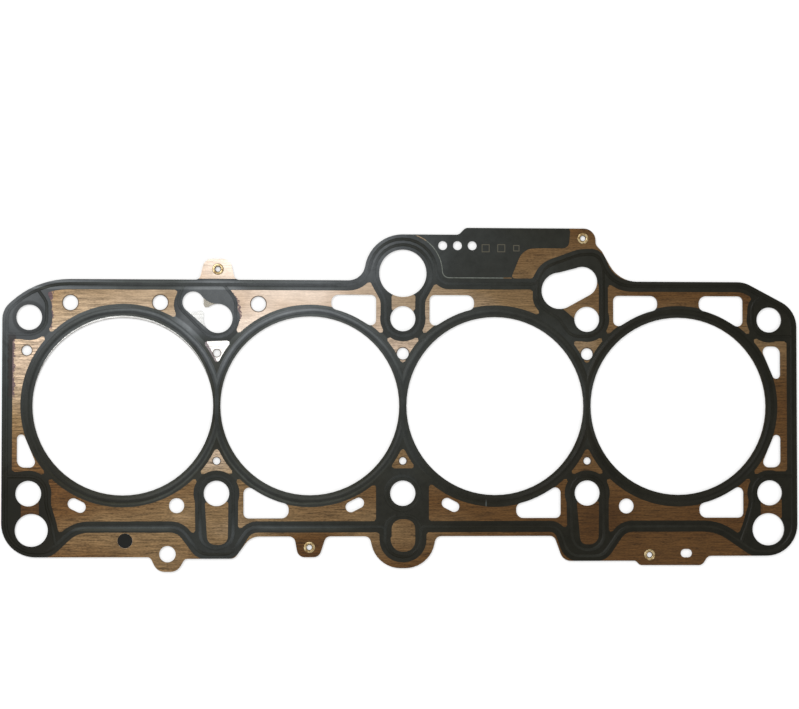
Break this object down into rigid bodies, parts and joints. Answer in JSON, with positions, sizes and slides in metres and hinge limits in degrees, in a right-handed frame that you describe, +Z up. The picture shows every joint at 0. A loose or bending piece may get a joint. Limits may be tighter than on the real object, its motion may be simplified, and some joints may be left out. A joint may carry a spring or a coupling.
{
  "type": "cylinder head gasket",
  "caption": "Multi-layer steel head gasket for an inline engine, with embossed bore beads, printed elastomer seal tracks and open bores, passages and bolt holes.",
  "frame": {"origin": "on the plane that the lower beads rest on, under the middle of the bore row, at the web between the second and third bores", "axes": "+X along the bore row towards the end with the tall upper window, +Y across the sheet towards the edge with the marking plate, +Z up out of the face that carries the marking plate"},
  "size_m": [0.3778, 0.163, 0.0018],
  "materials": {
    "lacquered_steel": "satin lacquered spring steel",
    "bright_steel": "bright rolled sheet",
    "elastomer": "smooth semi-matt coating",
    "rivet_steel": "plated"
  },
  "bodies": {
    "root": {"upper_layer": "lacquered_steel", "upper_coating": "elastomer", "middle_layer": "bright_steel", "inner_coating": "elastomer", "lower_layer": "lacquered_steel", "lower_coating": "elastomer", "rivet_upper_left": "rivet_steel", "rivet_upper_right": "rivet_steel", "rivet_lower_left": "rivet_steel", "rivet_lower_right": "rivet_steel"}
  },
  "joints": []
}
